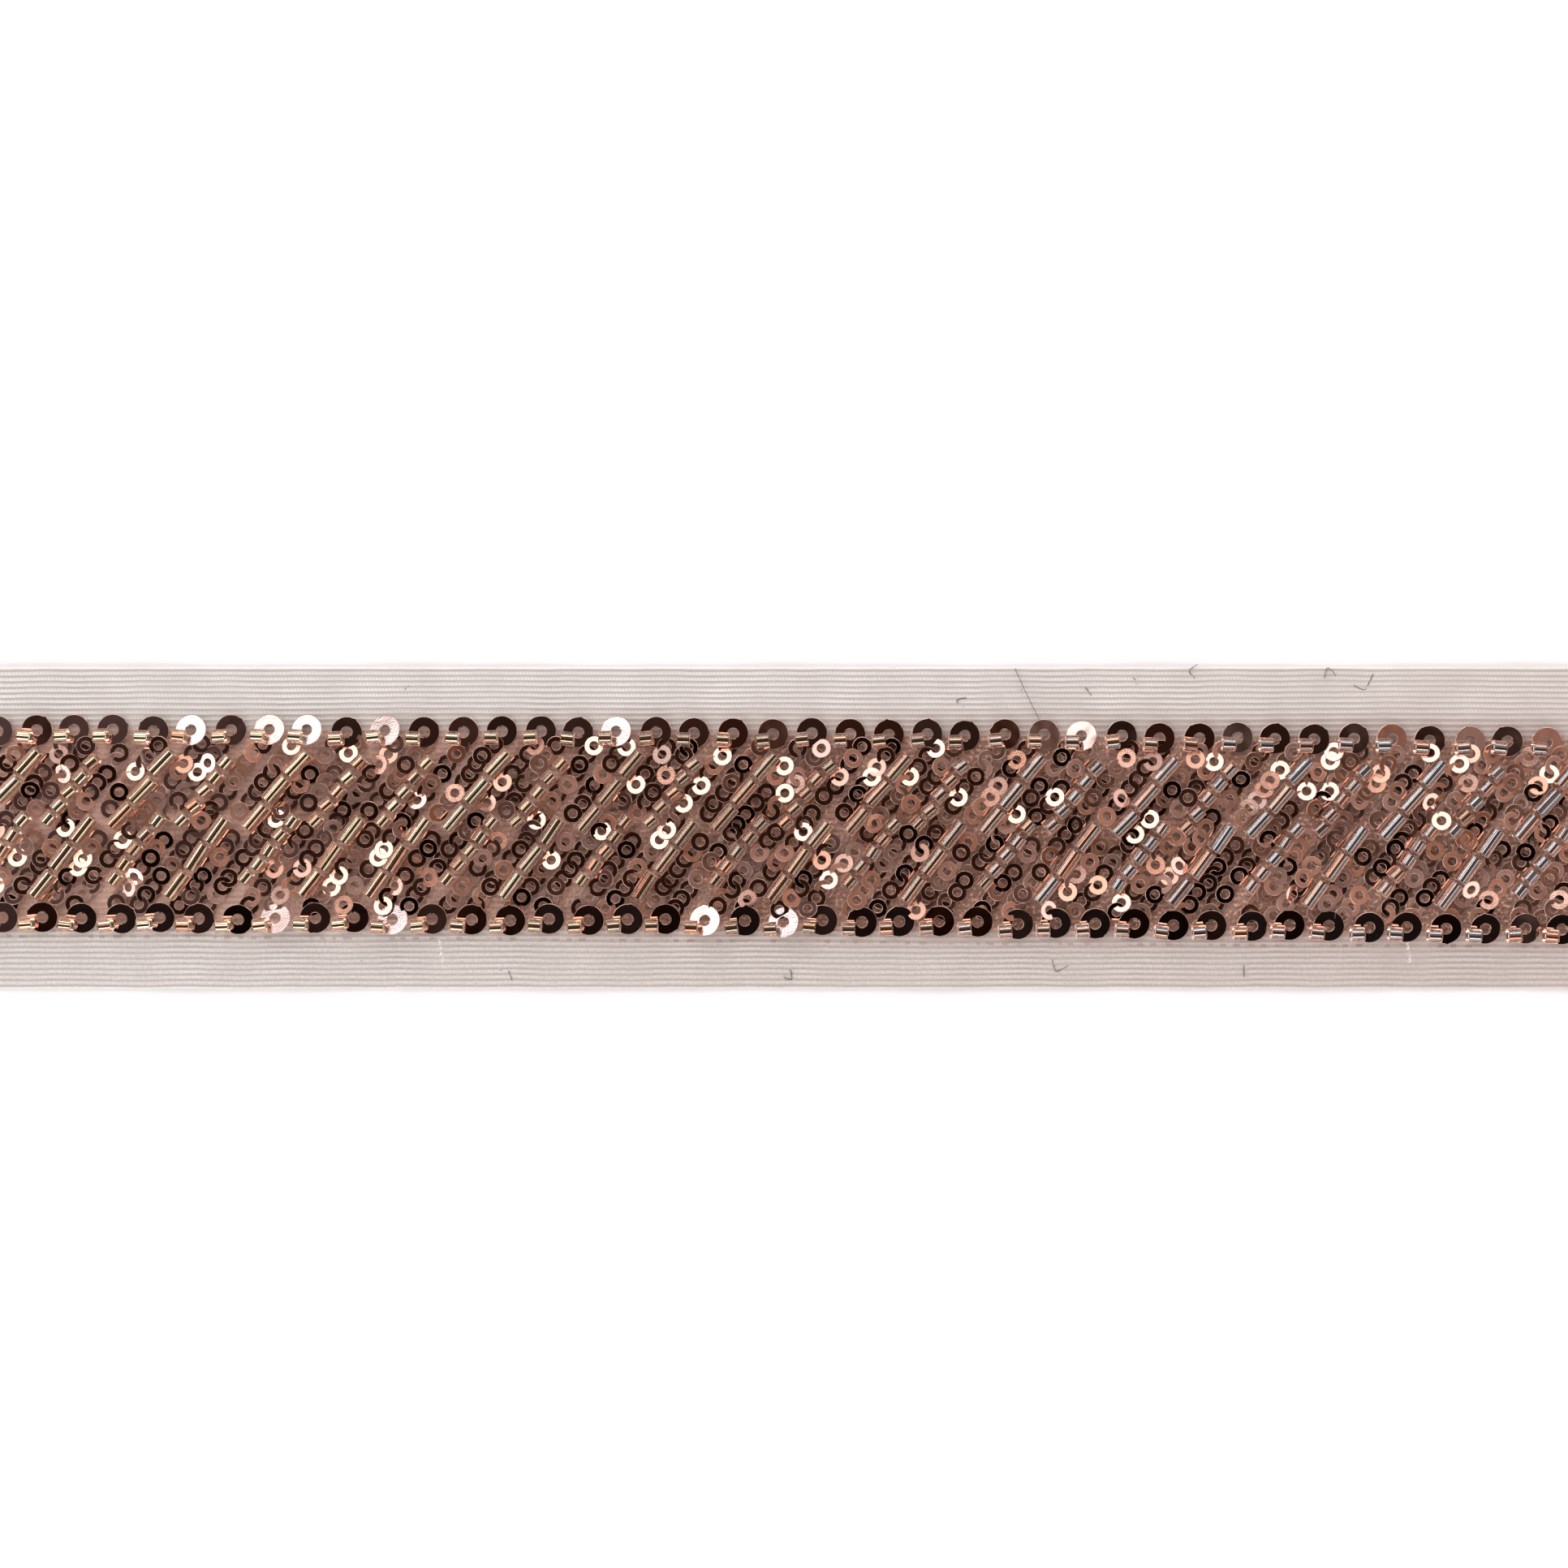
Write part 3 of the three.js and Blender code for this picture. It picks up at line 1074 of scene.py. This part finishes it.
@dataclass
class Lanes:
    """The lanes of small overlapping ring sequins, one row on each side of each string.

    Args:
        lit_from: Right of this and above it, more sequins are bright.
        strays: How far a sequin strays along the ribbon and across it.
        veer: The spread, in radians, of the directions that they lean toward.
    """

    band: Band
    foils: Sequence[bpy.types.Material]
    radius: float = 1.6
    hole: float = 0.73
    sheet: float = 0.08
    rim: float = 0.08
    sides: int = 14
    from_string: float = 2.61
    rows_reach: float = 12.9
    sequins_a_row: int = 18
    rest_z: float = 1.22
    bare_share: float = 0.34
    steep_share: float = 0.12
    bright_share: float = 0.07
    lit_share: float = 0.2
    lit_from: tuple[float, float] = (-30.0, 4.0)
    wear_and_shade: tuple[float, float] = (0.4, 1.0)
    strays: tuple[float, float] = (0.38, 0.25)
    rise_share: float = 0.7
    stack: float = 0.25
    steep: tuple[float, float] = (14.0, 30.0)
    lean: float = 5.5
    veer: float = 1.1
    glint_spread: float = 1.6
    seed: int = 23

    def build(self) -> None:
        """Makes the heap of small sequins."""
        chance = random.Random(self.seed)
        sequin = punched("small_disc", self.hole, self.radius, self.sheet, self.rim, self.sides)
        heap = Heap("small_sequins", self.foils)
        for index in range(-1, self.band.strings + 1):
            for side in (-1, 1):
                for count in range(self.sequins_a_row):
                    place = self._place(chance, index, side, count)
                    look = self._look(chance)
                    if self.band.inside(place.centre.x, self.radius):
                        heap.add(sequin, place.matrix(), look)
        heap.finish("small_sequins", nodes_named("sequin_lane"))

    def _look(self, chance: random.Random) -> tuple[float, float]:
        """How bare a sequin's film is, and its tint."""
        bare = chance.uniform(*self.wear_and_shade) if chance.random() < self.bare_share else 0.0
        return bare, chance.random()

    def _place(self, chance: random.Random, index: int, side: int, count: int) -> Place:
        """Where a small sequin lies, leaning along its string on the one below it."""
        down = 2 * self.rows_reach * count / (self.sequins_a_row - 1)
        y = self.band.y_at(self.band.string_x(index)) + self.rows_reach - down
        y += chance.uniform(-self.strays[1], self.strays[1])
        half = Half.UPPER if y > self.band.step_y(index, side) else Half.LOWER
        x = self.band.line_x(half, index, y) + side * self.from_string / math.sin(self.band.slant)
        x += chance.uniform(-self.strays[0], self.strays[0])
        lean, toward = self._lean(chance, Vector((x, y, self.rest_z)))
        rise = self.radius * math.sin(lean) * self.rise_share + chance.uniform(0.0, self.stack)
        return Place(Vector((x, y, self.rest_z + rise)), chance.uniform(0, 6.28), lean, toward)

    def _lean(self, chance: random.Random, at: Vector) -> tuple[float, float]:
        """How far a small sequin leans, and toward what, in radians."""
        lit = at.x > self.lit_from[0] and at.y > self.lit_from[1]
        if chance.random() < (self.lit_share if lit else self.bright_share):
            return glinting(at, chance, self.glint_spread)
        if chance.random() < self.steep_share:
            return math.radians(chance.uniform(*self.steep)), chance.uniform(0, TURN)
        lean = math.radians(abs(chance.gauss(0, self.lean)))
        return lean, -self.band.slant + chance.gauss(0, self.veer)


@dataclass
class Lint:
    """Stray dark hairs that lie on the bare margins."""

    radius: float = 0.055
    rest_z: float = 0.66
    hook: float = 0.25
    drop: float = 0.03
    drop_from_y: float = 17.0
    seed: int = 5
    long_hair: tuple[tuple[float, float, float], ...] = (
        (37.3, 25.8, 0.5), (39.2, 21.5, 0.95), (41.4, 17.0, 1.1),
    )
    upper_places: tuple[tuple[float, float], ...] = (
        (39.0, 22.9), (55.4, 22.9), (66.4, 24.2), (29.9, 19.0),
        (48.8, 20.3), (87.3, 24.2), (95.2, 24.9), (-60.2, 21.0),
    )
    lower_places: tuple[tuple[float, float], ...] = (
        (-68.0, -22.1), (-43.9, -24.7), (-0.1, -24.1), (46.2, -22.1), (62.5, -20.8), (76.9, -21.5),
    )

    def build(self) -> None:
        """Makes every hair: one long straight one, and short ones that are hooked at one end."""
        chance = random.Random(self.seed)
        heap = Heap("lint_fibres", (FibreFinish().material(),))
        hairs = [[Vector(point) for point in self.long_hair]]
        hairs += [self._hooked(chance, x, y) for x, y in self.upper_places + self.lower_places]
        for hair in hairs:
            for start, end in zip(hair, hair[1:]):
                heap.add(*straight_fibre(start, end, self.radius))
        heap.finish("net")

    def _hooked(self, chance: random.Random, x: float, y: float) -> list[Vector]:
        """The points of one hair: a straight arm, a tight bend and a curved tail."""
        angle = chance.uniform(0, TURN)
        bend = math.radians(chance.choice((-1, 1)) * chance.uniform(30, 55))
        points = [Vector((x, y, self.rest_z - self.drop * (abs(y) - self.drop_from_y)))]
        arm = chance.uniform(1.0, 2.6)
        tail = chance.uniform(0.5, 1.0), chance.uniform(0.4, 1.2)
        for length in (arm, self.hook, self.hook, *tail):
            points.append(points[-1] + Vector((math.cos(angle), math.sin(angle), 0.02)) * length)
            angle += bend if length == self.hook else bend * 0.3
        return points


def straight_fibre(start: Vector, end: Vector, radius: float) -> tuple[bpy.types.Mesh, Matrix]:
    """A straight thin fibre between two points, as a template and its place."""
    along = end - start
    shape = bmesh.new()
    thick, depth = radius * MM, along.length * MM
    bmesh.ops.create_cone(shape, cap_ends=True, segments=6, radius1=thick, radius2=thick, depth=depth)
    turn = along.to_track_quat("Z", "Y").to_matrix().to_4x4()
    return mesh_of(shape, "fibre"), Matrix.Translation((start + end) / 2 * MM) @ turn


# The studio


@dataclass
class Studio:
    """The pale floor, the soft light and the camera straight above.

    Args:
        view_width: The width that the picture shows at the height plane_z.
        floor_side: The floor's side, in metres.
        ring: The low ring's colours at the left and at the right.
        glows: The faint lights overhead: their direction in plan, where each starts and is full, and
            its colour.
    """

    view_width: float = 252.2
    plane_z: float = 2.0
    floor_side: float = 4.0
    ring: tuple[Colour, Colour] = ((0.99, 0.95, 0.96), (0.46, 0.44, 0.46))
    ring_strength: float = 3.5
    lamp: Colour = (1.0, 0.97, 0.96)
    lamp_strength: float = 2.0
    lamp_edge: tuple[float, float] = (14.0, 9.0)
    overhead: Colour = (0.034, 0.017, 0.012)
    glows: tuple[tuple[float, float, float, float, Colour], ...] = (
        (0.3, -1.0, 0.08, 0.3, (0.005, 0.002, 0.002)),
        (-0.8, 0.6, 0.06, 0.36, (0.13, 0.105, 0.115)),
        (0.85, 0.6, 0.13, 0.50, (0.52, 0.38, 0.33)),
        (0.75, -0.66, 0.6, 0.72, (0.28, 0.16, 0.11)),
    )

    def build(self) -> None:
        """Makes the camera, the floor and the light."""
        self._camera()
        self._floor()
        self._sky()
        bpy.context.scene.view_settings.view_transform = "Standard"

    def _camera(self) -> None:
        """A camera that looks straight down on the middle of the picture."""
        data = bpy.data.cameras.new("camera")
        data.sensor_width = 36.0
        data.lens = data.sensor_width * (EYE.z - self.plane_z) / self.view_width
        data.clip_start = 0.01
        camera = bpy.data.objects.new("camera", data)
        camera.location = EYE * MM
        bpy.context.scene.collection.objects.link(camera)
        bpy.context.scene.camera = camera

    def _floor(self) -> None:
        """A wide flat floor just under the ribbon."""
        shape = bmesh.new()
        bmesh.ops.create_grid(shape, x_segments=2, y_segments=2, size=self.floor_side / 2)
        mesh = mesh_of(shape, "floor")
        mesh.materials.append(FloorFinish().material())
        floor = bpy.data.objects.new("floor", mesh)
        bpy.context.scene.collection.objects.link(floor)

    def _sky(self) -> None:
        """A bright ring low all round, dark overhead but for faint lights, and one soft lamp."""
        world = bpy.data.worlds.new("surround")
        world.use_nodes = True
        bpy.context.scene.world = world
        graph = Graph(world.node_tree)
        toward = graph.node("ShaderNodeTexCoord").out("Generated")
        split = graph.node("ShaderNodeSeparateXYZ", {}, {"Vector": toward})
        x, y, z = split.out("X"), split.out("Y"), split.out("Z")
        ring = graph.mix(x.ramp(0.05, 0.65), *self.ring)
        dark = self.overhead
        for along, across, low, high, colour in self.glows:
            dark = graph.mix((x * along + y * across).ramp(low, high), dark, colour)
        low_down = (x * x + y * y).ramp(0.66, 0.77)
        outer, inner = (math.cos(math.radians(angle)) for angle in self.lamp_edge)
        key = (x * LAMP.x + y * LAMP.y + z * LAMP.z).ramp(outer, inner)
        surround = graph.mix(key, graph.mix(low_down, dark, ring), self.lamp)
        strength = low_down * self.ring_strength + key * self.lamp_strength + 1.0
        sky = graph.node("ShaderNodeBackground", {}, {"Color": surround, "Strength": strength})
        graph.node("ShaderNodeOutputWorld", {}, {"Surface": sky})


LARGE_FOIL = FoilFinish(
    name="large_foil",
    foil=(0.50, 0.37, 0.34),
    warm=(0.74, 0.39, 0.28),
    film=(0.70, 0.62, 0.64),
    warm_film=(0.74, 0.62, 0.60),
    roughness=0.02,
    film_roughness=0.12,
    film_metal=0.8,
    film_alpha=0.84,
    glitter=1.2,
)
SMALL_FOIL = FoilFinish(
    name="small_foil",
    foil=(0.60, 0.38, 0.32),
    warm=(0.74, 0.42, 0.31),
    film=(0.62, 0.42, 0.37),
    warm_film=(0.74, 0.32, 0.18),
    roughness=0.03,
    film_roughness=0.10,
    film_metal=0.25,
    film_alpha=0.5,
    glitter=1.0,
)


def main() -> None:
    """Builds the studio and every piece of the trim, in the order in which it is made."""
    logging.basicConfig(level=logging.INFO, format="%(name)s %(message)s")
    band = Band()
    Studio().build()
    Ribbon().build()
    maker = BeadMaker(GlassFinish().material(), LiningFinish().material())
    cut_edge = CutEdgeFinish().material()
    foils = (LARGE_FOIL.material(), cut_edge)
    EdgeRow(
        name="upper_row",
        node="edge_row_upper",
        band=band,
        maker=maker,
        foils=foils,
        side=1,
        pitch=6.24,
        start_x=-126.7,
        bead_left=1.66,
        bright=(5, 7, 8, 10, 16, 28),
        leans=(0.5, 5.5),
        toward=-60.0,
        spread=120.0,
        seed=41,
    ).build()
    EdgeRow(
        name="lower_row",
        node="edge_row_lower",
        band=band,
        maker=maker,
        foils=foils,
        side=-1,
        pitch=6.28,
        start_x=-125.7,
        bead_left=2.2,
        bright=(7, 10, 18, 20),
        leans=(4.0, 10.0),
        toward=-90.0,
        spread=40.0,
        seed=43,
    ).build()
    Strings(band, maker).build()
    Lanes(band, (SMALL_FOIL.material(), cut_edge)).build()
    Lint().build()


if __name__ == "__main__":
    main()
